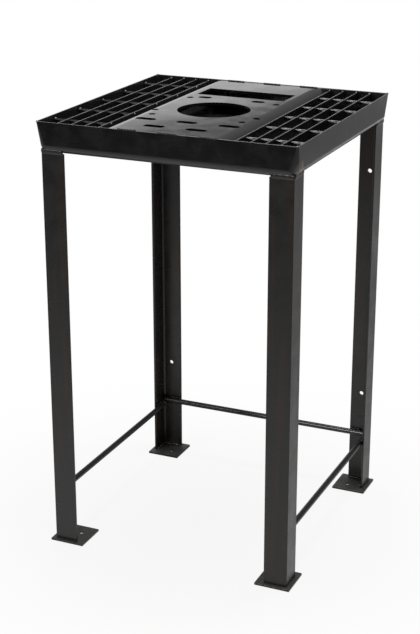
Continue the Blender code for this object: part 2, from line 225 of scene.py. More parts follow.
sheet = add_node(paper, "ShaderNodeMixShader", {0: share, 1: lit.outputs[0], 2: white.outputs[0]})
add_node(paper, "ShaderNodeOutputMaterial", {"Surface": sheet.outputs[0]})
floor.data.materials.append(floor_paper)
print("floor", [round(v, 2) for v in floor.dimensions])

# %% [markdown]
# One large softbox hangs over the stand. It lights the floor, and its mirror image makes the highlights
# on every rounded edge, weld bead and twisted rod. A second lamp in front on the left adds the sparkle
# on the welds under the pan, where the softbox can't reach; it only shows in gloss. Both are hidden from
# the camera, which passes them in other views.


# %% Softbox
def hang_softbox(name, place, aim, width, depth, watts):
    lamp = bpy.data.lights.new(name, "AREA")
    lamp.shape = "RECTANGLE"
    lamp.size = width
    lamp.size_y = depth
    lamp.energy = watts
    softbox = bpy.data.objects.new(name, lamp)
    softbox.location = place
    softbox.rotation_euler = (Vector(aim) - Vector(place)).to_track_quat("-Z", "Y").to_euler()
    softbox.visible_camera = False
    scene.collection.objects.link(softbox)
    return softbox


overhead = hang_softbox(
    "overhead_softbox", place=(0.04, 0.2, 2.9), aim=(0.04, 0.2, 0.4), width=1.74, depth=1.5, watts=66
)
sparkle = hang_softbox(
    "front_lamp", place=(-0.8, -2.6, 1.8), aim=(0, 0, 0.5), width=1.0, depth=1.0, watts=40
)
sparkle.visible_diffuse = False
for lamp in (overhead, sparkle):
    print(lamp.name, lamp.data.energy, "W")

# %% [markdown]
# ## Enamel
# Every piece wears the same black shop enamel, and a few effects make it look sprayed on and used. Each
# one is a node group, built once and placed in the materials with its own values. The first is the skin
# of the paint: a fine orange peel, long shallow waves of the sheet below it, and cloudy changes of
# gloss.


# %% Node group: enamel skin
def start_group(name, inputs, outputs):
    group = bpy.data.node_groups.new(name, "ShaderNodeTree")
    for socket, value in inputs.items():
        made = group.interface.new_socket(socket, in_out="INPUT", socket_type="NodeSocketFloat")
        made.default_value = value
    for socket in outputs:
        group.interface.new_socket(socket, in_out="OUTPUT", socket_type="NodeSocketFloat")
    return group, group.nodes.new("NodeGroupInput").outputs, group.nodes.new("NodeGroupOutput").inputs


enamel_skin, given, put_out = start_group(
    "enamel_skin",
    {"Peel": 0.4, "Waves": 1.0, "Gloss Low": 0.22, "Gloss High": 0.34},
    ("Height", "Roughness", "Cloud"),
)
place = object_place(enamel_skin)
peel_height = times(enamel_skin, noise(enamel_skin, place, 420.0, 2.0), given["Peel"])
wave_height = times(enamel_skin, noise(enamel_skin, place, 11.0, 1.0), given["Waves"])
enamel_skin.links.new(plus(enamel_skin, peel_height, wave_height), put_out["Height"])
cloudiness = ramp_value(enamel_skin, noise(enamel_skin, place, 26.0, 3.0), 0.3, 0.7)
gloss = ramp_value(enamel_skin, cloudiness, 0, 1, given["Gloss Low"], given["Gloss High"])
enamel_skin.links.new(gloss, put_out["Roughness"])
enamel_skin.links.new(cloudiness, put_out["Cloud"])
print("enamel_skin nodes:", len(enamel_skin.nodes))

# %% [markdown]
# The second group finds the outer edges, where paint is thin and gets rubbed. An Ambient Occlusion node
# that looks into the steel is dark where a second face lies close behind the first, and that is only so
# at outer edges. Noise breaks the line up, so that the steel shows in short rubs and not as an outline.

# %% Node group: edge rubs
RUB_INPUTS = {"Width": 0.0015, "Patch Scale": 90.0, "Amount": 0.5}

edge_rubs, given, put_out = start_group("edge_rubs", RUB_INPUTS, ("Rub",))
place = object_place(edge_rubs)
behind = add_node(
    edge_rubs,
    "ShaderNodeAmbientOcclusion",
    {"Distance": given["Width"]},
    inside=True,
    only_local=True,
    samples=8,
)
on_edge = ramp_value(edge_rubs, behind.outputs["AO"], 0.85, 0.5)
patches = noise(edge_rubs, place, given["Patch Scale"], 5.0, Roughness=0.65)
start = plus(edge_rubs, times(edge_rubs, given["Amount"], -0.4), 0.78)
patch = ramp_value(edge_rubs, patches, start, 0.8, shape="LINEAR")
edge_rubs.links.new(times(edge_rubs, on_edge, patch), put_out["Rub"])
print("edge_rubs nodes:", len(edge_rubs.nodes))

# %% [markdown]
# The third group draws fine scratches: thin lines cut from noise that is stretched a long way in one
# direction, once along X and once along Y, each broken by a coarser noise. The fourth lays a little dust
# on whatever looks up.


# %% Node groups: scratches and dust
def scratch_lines(tree, place, stretch, turn, patch_scale):
    inputs = {"Vector": place, "Rotation": (0, 0, turn), "Scale": stretch}
    turned = add_node(tree, "ShaderNodeMapping", inputs).outputs["Vector"]
    line = ramp_value(tree, noise(tree, turned, 1.0, 1.0), 0.665, 0.70)
    return times(tree, line, ramp_value(tree, noise(tree, place, patch_scale, 2.0), 0.48, 0.62))


scratches, given, put_out = start_group("scratches", {"Amount": 0.5}, ("Scratch",))
place = object_place(scratches)
lengthways = scratch_lines(scratches, place, stretch=(900, 22, 900), turn=0.35, patch_scale=16.0)
crossways = scratch_lines(scratches, place, stretch=(26, 1100, 900), turn=-0.2, patch_scale=21.0)
both = greater(scratches, lengthways, crossways)
scratches.links.new(times(scratches, both, given["Amount"]), put_out["Scratch"])

settled_dust, given, put_out = start_group("settled_dust", {"Amount": 0.2}, ("Dust",))
place = object_place(settled_dust)
facing = add_node(settled_dust, "ShaderNodeNewGeometry").outputs["Normal"]
upward = one_axis(settled_dust, facing, "Z")
grain = noise(settled_dust, place, 240.0, 6.0, Roughness=0.7)
specks = ramp_value(settled_dust, grain, 0.35, 0.75, 0.35, 1.0)
speckled = times(settled_dust, specks, noise(settled_dust, place, 9.0, 3.0))
lying = times(settled_dust, speckled, ramp_value(settled_dust, upward, 0.6, 0.98))
settled_dust.links.new(times(settled_dust, lying, given["Amount"]), put_out["Dust"])
print("groups:", [group.name for group in bpy.data.node_groups])

# %% [markdown]
# A finish is then one Principled shader with these groups in front of it. Paint is a dielectric, so its
# gloss is strongest at a grazing angle by itself. A rub takes the colour, metal and roughness towards
# bare steel; dust and scratches only lighten and dull the paint. The deck is the smoothest piece: it has
# to show the backdrop's soft edge. The legs' black is a little warmer, and the foot plates, next to the
# floor, carry the most dust.

# %% Finishes
PAINT_BLACK = (0.015, 0.015, 0.0155, 1)
LEG_BLACK = (0.0185, 0.0152, 0.0140, 1)
BARE_STEEL = (0.30, 0.29, 0.28, 1)
DUST_GREY = (0.16, 0.155, 0.145, 1)
SCRATCH_GREY = (0.05, 0.05, 0.052, 1)
STEEL_ROUGH = 0.42
SCRATCH_ROUGH = 0.45
DUST_ROUGH = 0.7
CLOUD_SHADE = 0.85
STEEL_METAL = 0.85


def use_group(tree, group, **values):
    placed = add_node(tree, "ShaderNodeGroup", node_tree=group)
    for socket, value in values.items():
        placed.inputs[socket].default_value = value
    return placed.outputs


def mix_enamel(name, skin, rub, scratch, dust, bump, black=PAINT_BLACK):
    """Black enamel with its own gloss, peel, rubs, scratches and dust."""
    enamel = bpy.data.materials.new(name)
    enamel.use_nodes = True
    tree = enamel.node_tree
    shader = tree.nodes["Principled BSDF"]
    surface = use_group(tree, enamel_skin, **skin)
    rubbed = use_group(tree, edge_rubs, **rub)["Rub"]
    scratched = use_group(tree, scratches, Amount=scratch)["Scratch"]
    dusty = use_group(tree, settled_dust, Amount=dust)["Dust"]
    deep = [part * CLOUD_SHADE for part in black[:3]] + [1]
    paint = mix_colour(tree, surface["Cloud"], deep, black)
    paint = mix_colour(tree, scratched, paint, SCRATCH_GREY)
    paint = mix_colour(tree, dusty, paint, DUST_GREY)
    tree.links.new(mix_colour(tree, rubbed, paint, BARE_STEEL), shader.inputs["Base Color"])
    rough = mix_value(tree, scratched, surface["Roughness"], SCRATCH_ROUGH)
    rough = mix_value(tree, dusty, rough, DUST_ROUGH)
    tree.links.new(mix_value(tree, rubbed, rough, STEEL_ROUGH), shader.inputs["Roughness"])
    tree.links.new(times(tree, rubbed, STEEL_METAL), shader.inputs["Metallic"])
    relief_inputs = {"Height": surface["Height"], "Strength": 1.0, "Distance": bump}
    relief = add_node(tree, "ShaderNodeBump", relief_inputs).outputs["Normal"]
    tree.links.new(relief, shader.inputs["Normal"])
    return enamel


frame_enamel = mix_enamel(
    "frame_enamel",
    skin={"Peel": 0.12, "Waves": 5.0, "Gloss Low": 0.27, "Gloss High": 0.35},
    rub={"Width": 0.0014, "Patch Scale": 70.0, "Amount": 0.25},
    scratch=0.4,
    dust=0.12,
    bump=0.00006,
    black=LEG_BLACK,
)
foot_enamel = mix_enamel(
    "foot_enamel",
    skin={"Peel": 0.12, "Waves": 3.0, "Gloss Low": 0.27, "Gloss High": 0.35},
    rub={"Width": 0.0012, "Patch Scale": 90.0, "Amount": 0.4},
    scratch=0.6,
    dust=1.25,
    bump=0.00006,
)
pan_enamel = mix_enamel(
    "pan_enamel",
    skin={"Peel": 0.10, "Waves": 6.0, "Gloss Low": 0.20, "Gloss High": 0.26},
    rub={"Width": 0.0013, "Patch Scale": 80.0, "Amount": 0.35},
    scratch=0.15,
    dust=0.02,
    bump=0.00006,
)
deck_enamel = mix_enamel(
    "deck_enamel",
    skin={"Peel": 0.06, "Waves": 2.0, "Gloss Low": 0.04, "Gloss High": 0.07},
    rub={"Width": 0.0012, "Patch Scale": 110.0, "Amount": 0.1},
    scratch=0.35,
    dust=0.03,
    bump=0.00005,
)
grating_enamel = mix_enamel(
    "grating_enamel",
    skin={"Peel": 0.2, "Waves": 1.0, "Gloss Low": 0.16, "Gloss High": 0.24},
    rub={"Width": 0.0010, "Patch Scale": 160.0, "Amount": 0.5},
    scratch=0.4,
    dust=0.04,
    bump=0.00006,
)
weld_enamel = mix_enamel(
    "weld_enamel",
    skin={"Peel": 0.5, "Waves": 0.0, "Gloss Low": 0.12, "Gloss High": 0.22},
    rub={"Width": 0.0008, "Patch Scale": 300.0, "Amount": 0.25},
    scratch=0.1,
    dust=0.05,
    bump=0.00006,
)
worn_enamel = mix_enamel(
    "worn_enamel",
    skin={"Peel": 0.5, "Waves": 0.0, "Gloss Low": 0.15, "Gloss High": 0.25},
    rub={"Width": 0.004, "Patch Scale": 300.0, "Amount": 1.3},
    scratch=0.1,
    dust=0.0,
    bump=0.00006,
)
print("finishes:", [m.name for m in bpy.data.materials if m.name.endswith("enamel")])

# %% [markdown]
# The pan was welded shut at its corners, and heat and flux spoil paint. On the front right corner a
# brown stain runs down the seam. It is a mask made from the distance to that seam, faded upwards and
# broken into streaks, and it goes between the pan's paint and its shader.

# %% Seam stain
SEAM = (0.272, -0.252, 0)
STAIN_BROWN = (0.44, 0.36, 0.30, 1)

seam_stain, given, put_out = start_group("seam_stain", {"Amount": 1.0}, ("Stain",))
place = object_place(seam_stain)
from_seam = distance(seam_stain, stretched(seam_stain, place, (1, 1, 0)), SEAM)
beside_seam = ramp_value(seam_stain, from_seam, 0.005, 0.023, 1, 0)
low_down = ramp_value(seam_stain, one_axis(seam_stain, place, "Z"), 0.864, 0.890, 1, 0)
long_place = stretched(seam_stain, place, (1, 1, 0.22))
streaks = ramp_value(seam_stain, noise(seam_stain, long_place, 170.0, 3.0), 0.35, 0.7)
broken = times(seam_stain, times(seam_stain, beside_seam, low_down), streaks)
seam_stain.links.new(times(seam_stain, broken, given["Amount"]), put_out["Stain"])


def lay_over(paint, mask, colour):
    """Mixes a colour over the paint's own, where the mask of a node group says so."""
    tree = paint.node_tree
    base = tree.nodes["Principled BSDF"].inputs["Base Color"]
    amount = use_group(tree, mask)[0]
    tree.links.new(mix_colour(tree, amount, base.links[0].from_socket, colour), base)


lay_over(pan_enamel, seam_stain, STAIN_BROWN)
print("seam_stain nodes:", len(seam_stain.nodes))

# %% [markdown]
# The angle iron was painted over a little rust, and a brown tone comes through in long upright streaks.
# Noise that is stretched along Z gives them, and they go into the legs' paint in the same way as the
# stain.

# %% Rust streaks
RUST_BROWN = (0.034, 0.019, 0.012, 1)

rust_streaks, given, put_out = start_group("rust_streaks", {"Amount": 1.0}, ("Rust",))
place = object_place(rust_streaks)
tall_place = stretched(rust_streaks, place, (60, 60, 3.2))
bloom = ramp_value(rust_streaks, noise(rust_streaks, tall_place, 1.0, 3.0), 0.48, 0.66)
rust_streaks.links.new(times(rust_streaks, bloom, given["Amount"]), put_out["Rust"])
lay_over(frame_enamel, rust_streaks, RUST_BROWN)
print("rust_streaks nodes:", len(rust_streaks.nodes))

# %% [markdown]
# ## Working in edit mode from code
# Each piece below starts as a primitive at its size and place. These helpers do what the mouse does:
# start a block, a ball or a rod, pick points, edges or faces by where they are, apply a modifier, and
# cut with a second shape.

# %% Modelling helpers
SHARP_ANGLE = radians(40)


def only(piece):
    bpy.ops.object.select_all(action="DESELECT")
    piece.select_set(True)
    bpy.context.view_layer.objects.active = piece


def settle(name):
    """Names the piece just added and puts its place, turn and size into its mesh."""
    piece = bpy.context.object
    bpy.ops.object.transform_apply(location=True, rotation=True, scale=True)
    piece.name = name
    piece.data.name = name
    return piece


def start_block(name, low, high):
    bpy.ops.object.select_all(action="DESELECT")
    middle = (Vector(low) + Vector(high)) / 2
    bpy.ops.mesh.primitive_cube_add(size=1, location=middle, scale=Vector(high) - Vector(low))
    return settle(name)


def start_ball(name, size, segments, rings):
    bpy.ops.object.select_all(action="DESELECT")
    bpy.ops.mesh.primitive_uv_sphere_add(segments=segments, ring_count=rings, radius=1, scale=size)
    return settle(name)


def start_rod(name, place, diameter, length, turn=(0, 0, 0), sides=48):
    bpy.ops.object.select_all(action="DESELECT")
    bpy.ops.mesh.primitive_cylinder_add(
        vertices=sides, radius=diameter / 2, depth=length, location=place, rotation=turn
    )
    return settle(name)


def discard(*pieces):
    for piece in pieces:
        bpy.data.objects.remove(piece, do_unlink=True)


def enter_edit(piece, kind):
    """Edit mode with nothing selected, and the mesh to select in."""
    if piece.mode != "EDIT":
        only(piece)
        bpy.ops.object.mode_set(mode="EDIT")
    bpy.ops.mesh.select_mode(type=kind)
    bpy.ops.mesh.select_all(action="DESELECT")
    return bmesh.from_edit_mesh(piece.data)


def pick_points(piece, wanted):
    """Edit mode with those points selected whose place passes the test."""
    shape = enter_edit(piece, "VERT")
    for point in shape.verts:
        point.select_set(wanted(point.co))
    shape.select_flush(True)
    bmesh.update_edit_mesh(piece.data)


def pick_edges(piece, wanted):
    """Edit mode with those edges selected whose two ends pass the test."""
    shape = enter_edit(piece, "EDGE")
    for edge in shape.edges:
        if wanted(edge.verts[0].co, edge.verts[1].co):
            edge.select_set(True)
    bmesh.update_edit_mesh(piece.data)


def pick_faces(piece, wanted):
    """Edit mode with those faces selected whose middle and normal pass the test."""
    shape = enter_edit(piece, "FACE")
    for face in shape.faces:
        if wanted(face.calc_center_median(), face.normal):
            face.select_set(True)
    bmesh.update_edit_mesh(piece.data)


def leave_edit():
    bpy.ops.object.mode_set(mode="OBJECT")


def round_edges(piece, radius, segments, wanted):
    pick_edges(piece, wanted)
    bpy.ops.mesh.bevel(offset=radius, segments=segments, affect="EDGES")
    leave_edit()


def apply_modifier(piece, kind, **settings):
    only(piece)
    modifier = piece.modifiers.new(kind, kind)
    for setting, value in settings.items():
        setattr(modifier, setting, value)
    bpy.ops.object.modifier_apply(modifier=modifier.name)


def join(name, pieces):
    only(pieces[0])
    for piece in pieces:
        piece.select_set(True)
    bpy.ops.object.join()
    return settle(name)


def cut(piece, cutters):
    """Cuts all the cutters out of a piece at once, and removes them."""
    cutter = join("cutter", cutters)
    apply_modifier(piece, "BOOLEAN", operation="DIFFERENCE", solver="EXACT", object=cutter)
    discard(cutter)


def ease_edges(piece, radius, segments=2):
    """Rounds every edge that turns by more than the sharp angle."""
    limit = {"limit_method": "ANGLE", "angle_limit": SHARP_ANGLE}
    apply_modifier(piece, "BEVEL", width=radius, segments=segments, **limit)


def near(a, b, tolerance=0.0002):
    return abs(a - b) < tolerance


print("modelling helpers ready")

# %% [markdown]
# A finished piece gets smooth shading that stops at sharp edges, and a Weighted Normal modifier that
# keeps the large faces flat beside their small roundings. Then it takes its paint, rides on a body of
# the CAD model and stands for the CAD nodes that it replaces.


# %% Finishing and copying helpers
def finish(piece, body, paint, slot, *nodes):
    only(piece)
    bpy.ops.object.shade_smooth_by_angle(angle=SHARP_ANGLE)
    apply_modifier(piece, "WEIGHTED_NORMAL", keep_sharp=True)
    if not piece.data.materials:
        piece.data.materials.append(paint)
    if nodes:
        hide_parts(*nodes)
    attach(piece, body)
    size = [round(v * 1000, 1) for v in piece.dimensions]
    print(piece.name, "size in mm:", size, "faces:", len(piece.data.polygons))


def copy_of(piece, name, mirror=(1, 1, 1), turn=0.0, move=(0, 0, 0)):
    """A copy with its own mesh, mirrored, turned about Z and moved, in that order."""
    only(piece)
    bpy.ops.object.duplicate()
    twin = bpy.context.object
    twin.scale = mirror
    twin.rotation_euler.z = turn
    twin.location = move
    settle(name)
    if mirror[0] * mirror[1] * mirror[2] < 0:
        bpy.ops.object.mode_set(mode="EDIT")
        bpy.ops.mesh.select_all(action="SELECT")
        bpy.ops.mesh.normals_make_consistent(inside=False)
        leave_edit()
    return twin


print("finishing helpers ready")

# %% [markdown]
# ## Drip pan
# The pan is one sheet, 3 mm thick, folded up on all four sides and welded at the corners. Its side walls
# lean out a little. Folding it from a block is close to the press brake: narrow the floor, take the lid
# off, round the folds and corners together, then give the sheet its thickness. The corners were ground
# round near the floor and left sharp at the rim, so the upper end of each rounding is scaled back
# towards the corner. The sheared rim slopes a little inwards.

# %% Drip pan
RIM_Z = 0.915
RIM_HALF = 0.2735
PAN_Z = 0.853
FLOOR_HALF = 0.270
SHEET = 0.003
FOLD_R = 0.0168
RIM_CORNER_R = 0.004
RIM_EDGE_R = 0.0004
RIM_SLOPE = 0.0003
DRAIN_BORE = 0.027
DRILL_DEPTH = 0.03
CORNERS = ((-1, -1, "front_left"), (1, -1, "front_right"), (-1, 1, "rear_left"), (1, 1, "rear_right"))
SIDES = ((-1, "left"), (1, "right"))

pan = start_block("pan_tray", (-RIM_HALF, -RIM_HALF, PAN_Z), (RIM_HALF, RIM_HALF, RIM_Z))
pick_faces(pan, lambda middle, normal: normal.z < -0.9)
bpy.ops.transform.resize(value=(FLOOR_HALF / RIM_HALF, 1, 1), center_override=(0, 0, PAN_Z))
pick_faces(pan, lambda middle, normal: normal.z > 0.9)
bpy.ops.mesh.delete(type="ONLY_FACE")
leave_edit()
round_edges(pan, FOLD_R, 8, lambda a, b: min(a.z, b.z) < PAN_Z + 0.0001)
shrink = RIM_CORNER_R / FOLD_R
for sx, sy, corner in CORNERS:
    tip = Vector((sx * RIM_HALF, sy * RIM_HALF, RIM_Z))
    pick_points(pan, lambda point: (point - tip).length < FOLD_R + 0.002)
    bpy.ops.transform.resize(value=(shrink, shrink, 1), center_override=tip)
    leave_edit()
apply_modifier(pan, "SOLIDIFY", thickness=SHEET, offset=-1, use_even_offset=True)


def on_inner_rim(point):
    return near(point.z, RIM_Z, 0.0005) and max(abs(point.x), abs(point.y)) < RIM_HALF - 0.001


pick_points(pan, on_inner_rim)
bpy.ops.transform.translate(value=(0, 0, -RIM_SLOPE))
leave_edit()
cut(pan, [start_rod("drill", (0, 0, PAN_Z), DRAIN_BORE, DRILL_DEPTH)])
ease_edges(pan, RIM_EDGE_R, 3)
finish(pan, "stand", pan_enamel, "black_paint", "drip_pan")

# %% [markdown]
# ## Drain coupling
# A pipe coupling is welded under the hole in the pan's floor. A plain tube would do from far away. Here
# both ends of a cylinder are inset, the two rings are bridged with many cuts, and every second cut is
# widened, which gives the thread that a drain cock screws into.

# %% Drain coupling
COUPLING_R = 0.0205
COUPLING_Z = 0.8207
COUPLING_TOP = 0.8527
COUPLING_EDGE_R = 0.0012
THREAD_CUTS = 15
THREAD_SWELL = 1.09

height = COUPLING_TOP - COUPLING_Z
coupling = start_rod("drain_socket", (0, 0, (COUPLING_TOP + COUPLING_Z) / 2), 2 * COUPLING_R, height)
pick_faces(coupling, lambda middle, normal: abs(normal.z) > 0.9)
bpy.ops.mesh.bevel(offset=COUPLING_EDGE_R, segments=2, affect="EDGES")
pick_faces(coupling, lambda middle, normal: abs(normal.z) > 0.9)
bpy.ops.mesh.inset(thickness=COUPLING_R - COUPLING_EDGE_R - DRAIN_BORE / 2)
bpy.ops.mesh.bridge_edge_loops(number_cuts=THREAD_CUTS)
shape = bmesh.from_edit_mesh(coupling.data)
step = height / (THREAD_CUTS + 1)
for point in shape.verts:
    ring = round((point.co.z - COUPLING_Z) / step)
    point.select_set(point.co.xy.length < DRAIN_BORE / 2 + 0.0005 and ring % 2 == 1)
bpy.ops.transform.resize(value=(THREAD_SWELL, THREAD_SWELL, 1), center_override=(0, 0, COUPLING_Z))
leave_edit()
finish(coupling, "stand", frame_enamel, "black_paint", "drain_coupling")

# %% [markdown]
# ## Deck plate
# The deck is a heavy plate with its two long edges bent down in wide curves, so that it stands in the
# pan like an upturned trough. A block loses its floor and both ends, its two long upper edges are
# bevelled into the bends, and Solidify adds the thickness. A press brake lets a bend start gently, so
# the bevel's profile is fuller than a circle. Then all its openings are cut in one go: the round one
# that the filter's oil falls through, the window behind it, and the slots and holes that the press is
# bolted through.

# %% Deck plate
DECK_TOP = 0.914
DECK_HALF_W = 0.138
DECK_HALF_L = 0.2702
DECK_LOW = 0.8745
DECK_T = 0.006
DECK_BEND = 0.032
BEND_PROFILE = 0.58
OPENING_Y = -0.0305
OPENING_D = 0.149
WINDOW_LOW = (-0.0985, 0.106, DECK_TOP - 0.02)
WINDOW_HIGH = (0.0985, 0.175, DECK_TOP + 0.02)
WINDOW_R = 0.0018
SLOT_W = 0.018
LONG_SLOT = 0.044
SHORT_SLOT = 0.029
SLOT_ROWS = (
    (-0.1607, LONG_SLOT, (-0.089, 0, 0.089)),
    (-0.2156, LONG_SLOT, (-0.0445, 0.0445)),
    (0.079, SHORT_SLOT, (-0.068, 0.052)),
)
BOLT_HOLE_D = 0.0145
BOLT_HOLES = ((0.097, 0.067), (0.1105, -0.074), (0.097, -0.116))
CUT_DEPTH = 0.04
DECK_EDGE_R = 0.0005

deck_low = (-DECK_HALF_W, -DECK_HALF_L, DECK_LOW)
deck = start_block("deck", deck_low, (DECK_HALF_W, DECK_HALF_L, DECK_TOP))
pick_faces(deck, lambda middle, normal: normal.z < -0.9 or abs(normal.y) > 0.9)
bpy.ops.mesh.delete(type="FACE")
leave_edit()
pick_edges(deck, lambda a, b: near(a.z, DECK_TOP) and near(b.z, DECK_TOP) and near(a.x, b.x))
bpy.ops.mesh.bevel(offset=DECK_BEND, segments=28, profile=BEND_PROFILE, affect="EDGES")
leave_edit()
apply_modifier(deck, "SOLIDIFY", thickness=DECK_T, offset=-1, use_even_offset=True)


def upright(a, b):
    return near(a.x, b.x) and near(a.y, b.y)


def slot_cutter(x, y, length):
    low = (x - length / 2, y - SLOT_W / 2, DECK_TOP - CUT_DEPTH / 2)
    high = (x + length / 2, y + SLOT_W / 2, DECK_TOP + CUT_DEPTH / 2)
    cutter = start_block("slot_cutter", low, high)
    round_edges(cutter, SLOT_W * 0.499, 10, upright)
    return cutter


openings = [start_rod("drill", (0, OPENING_Y, DECK_TOP), OPENING_D, CUT_DEPTH, sides=128)]
window = start_block("window_cutter", WINDOW_LOW, WINDOW_HIGH)
round_edges(window, WINDOW_R, 3, upright)
openings.append(window)
for slot_y, slot_length, places in SLOT_ROWS:
    for slot_x in places:
        openings.append(slot_cutter(slot_x, slot_y, slot_length))
for hole_x, hole_y in BOLT_HOLES:
    for x in (hole_x, -hole_x):
        openings.append(start_rod("drill", (x, hole_y, DECK_TOP), BOLT_HOLE_D, CUT_DEPTH, sides=32))
print("openings to cut:", len(openings))
cut(deck, openings)
ease_edges(deck, DECK_EDGE_R)
finish(deck, "stand", deck_enamel, "deck_paint", "deck_plate")

# %% [markdown]
# ## Gratings
# Each grating has four bearing bars on edge. The bars are slit from sheet: their long edges are rounded,
# and their tops slope by a hair, which is enough to turn them towards the bright backdrop. A drop of
# weld is left on top of the back end of each bar: a small ball, cut flat underneath. One bar and one
# drop are modelled and copied to the other places.

# %% Bearing bars
BAR_T = 0.0032
BAR_TOP = 0.9115
BAR_LOW = 0.8861
BAR_HALF_L = 0.269
BAR_PITCH = 0.03016
INNER_BAR_X = 0.143
BARS = 4
BAR_SLOPE = 0.00008
BAR_EDGE_R = 0.0006
BAR_END_R = 0.0003
DROP_SIZE = (0.0019, 0.0028, 0.0022)
DROP_CUT = -0.0004

first_drop = start_ball("first_drop", DROP_SIZE, segments=16, rings=8)
enter_edit(first_drop, "FACE")
bpy.ops.mesh.select_all(action="SELECT")
bpy.ops.mesh.bisect(plane_co=(0, 0, DROP_CUT), plane_no=(0, 0, 1), use_fill=True, clear_inner=True)
leave_edit()
first_drop.data.materials.append(worn_enamel)

bar_high = (BAR_T / 2, BAR_HALF_L, BAR_TOP)
first_bar = start_block("first_bar", (-BAR_T / 2, -BAR_HALF_L, BAR_LOW), bar_high)
pick_points(first_bar, lambda point: near(point.z, BAR_TOP) and point.x < 0)
bpy.ops.transform.translate(value=(0, 0, -BAR_SLOPE))
leave_edit()
round_edges(first_bar, BAR_EDGE_R, 3, lambda a, b: near(a.x, b.x) and near(a.z, b.z))
ease_edges(first_bar, BAR_END_R, 1)
first_bar.data.materials.append(grating_enamel)
bars = []
for side, side_name in SIDES:
    for number in range(BARS):
        bar_x = side * (INNER_BAR_X + number * BAR_PITCH)
        bar = copy_of(first_bar, "bar", move=(bar_x, 0, 0))
        drop_y = BAR_HALF_L - 0.004 - 0.002 * (number % 2)
        drop = copy_of(first_drop, "drop", turn=0.6 * number, move=(bar_x, drop_y, BAR_TOP))
        bar = join(side_name + "_bar_" + str(number + 1), [bar, drop])
        node = side_name + "_bearing_bar_" + str(number + 1)
        finish(bar, side_name + "_grating", grating_enamel, "deck_paint", node)
        bars.append(bar)
discard(first_bar)
print("bars:", len(bars))

# %% [markdown]
# The cross rods are square bars, twisted cold: a quarter turn from one bearing bar to the next. A long
# block with rounded edges is subdivided along its length and twisted by a Simple Deform modifier. Where
# a rod crosses a bar it was pressed in while hot, so a thin collar of squeezed-out steel sits on both
# faces of the bar. Each end of a rod carries a drop of weld.

# %% Cross rods
ROD_SIDE = 0.00635
ROD_Z = 0.9055
ROD_START = 0.1389
ROD_END = 0.2684
ROD_SEGMENTS = 96
ROD_PLACES = (-0.2082, -0.1066, -0.005, 0.0966, 0.1982)
ROD_EDGE_R = 0.0025
COLLAR_SIZE = (0.0032, 0.0033, 0.0033)
COLLAR_SWELL = 1.16
COLLAR_HALF_W = 0.0019
END_DROPS = ((ROD_START + 0.0021, 0.4), (ROD_END - 0.0030, 1.3))

rod_high = Vector(((ROD_END - ROD_START) / 2, ROD_SIDE / 2, ROD_SIDE / 2))
first_rod = start_block("first_rod", -rod_high, rod_high)
round_edges(first_rod, ROD_EDGE_R, 6, lambda a, b: near(a.y, b.y) and near(a.z, b.z))
pick_edges(first_rod, lambda a, b: near(a.y, b.y) and near(a.z, b.z))
bpy.ops.mesh.subdivide(number_cuts=ROD_SEGMENTS - 1)
leave_edit()
twist = pi / 2 * (ROD_END - ROD_START) / BAR_PITCH
apply_modifier(first_rod, "SIMPLE_DEFORM", deform_method="TWIST", deform_axis="X", angle=twist)
first_rod.data.materials.append(grating_enamel)
print("rod faces:", len(first_rod.data.polygons), "twist in turns:", round(twist / (2 * pi), 2))

first_collar = start_ball("first_collar", COLLAR_SIZE, segments=20, rings=10)
pick_points(first_collar, lambda point: abs(point.x) < COLLAR_HALF_W)
bpy.ops.transform.resize(value=(1, COLLAR_SWELL, COLLAR_SWELL), center_override=(0, 0, 0))
leave_edit()
first_collar.data.materials.append(grating_enamel)

rods = []
for side, side_name in SIDES:
    for number, rod_y in enumerate(ROD_PLACES):
        rod_x = side * (ROD_START + ROD_END) / 2
        parts = [copy_of(first_rod, "rod", turn=0 if side > 0 else pi, move=(rod_x, rod_y, ROD_Z))]
        for bar_number in range(BARS):
            collar_x = side * (INNER_BAR_X + bar_number * BAR_PITCH)
            parts.append(copy_of(first_collar, "collar", move=(collar_x, rod_y, ROD_Z)))
        for drop_x, drop_turn in END_DROPS:
            drop_place = (side * drop_x, rod_y + 0.001 * sin(3 * number), ROD_Z + ROD_SIDE / 2)
            parts.append(copy_of(first_drop, "drop", turn=drop_turn, move=drop_place))
        rod = join(side_name + "_rod_" + str(number + 1), parts)
        node = side_name + "_cross_rod_" + str(number + 1)
        finish(rod, side_name + "_grating", grating_enamel, "deck_paint", node)
        rods.append(rod)
discard(first_rod, first_collar)
print("rods:", len(rods))

# %% [markdown]
# ## Ledges
# Four flats inside the pan carry the bar ends. Each has a turned-up lip beside the first bar, which
# keeps the grating from sliding under the deck. A block is cut across near one end, and the short piece
# of its top is pulled up.

# %% Ledges
LEDGE_TOP = 0.8858
LEDGE_T = 0.004
LIP_OUT = 0.1388
LIP_IN = 0.1408
LIP_RISE = 0.010
LEDGE_END = 0.2676
LEDGE_IN_Y = 0.2502
LEDGE_OUT_Y = 0.2702
LEDGE_EDGE_R = 0.0006

ledge_low = (LIP_OUT, LEDGE_IN_Y, LEDGE_TOP - LEDGE_T)
ledge = start_block("ledge", ledge_low, (LEDGE_END, LEDGE_OUT_Y, LEDGE_TOP))
enter_edit(ledge, "FACE")
bpy.ops.mesh.select_all(action="SELECT")
bpy.ops.mesh.bisect(plane_co=(LIP_IN, 0, 0), plane_no=(1, 0, 0))
pick_faces(ledge, lambda middle, normal: normal.z > 0.9 and middle.x < LIP_IN)
bpy.ops.mesh.extrude_region_move(TRANSFORM_OT_translate={"value": (0, 0, LIP_RISE)})
leave_edit()
ease_edges(ledge, LEDGE_EDGE_R)
for sx, sy, corner in CORNERS:
    shelf = copy_of(ledge, corner + "_shelf", mirror=(sx, sy, 1))
    finish(shelf, "stand", frame_enamel, "black_paint", "ledge_" + corner)
discard(ledge)

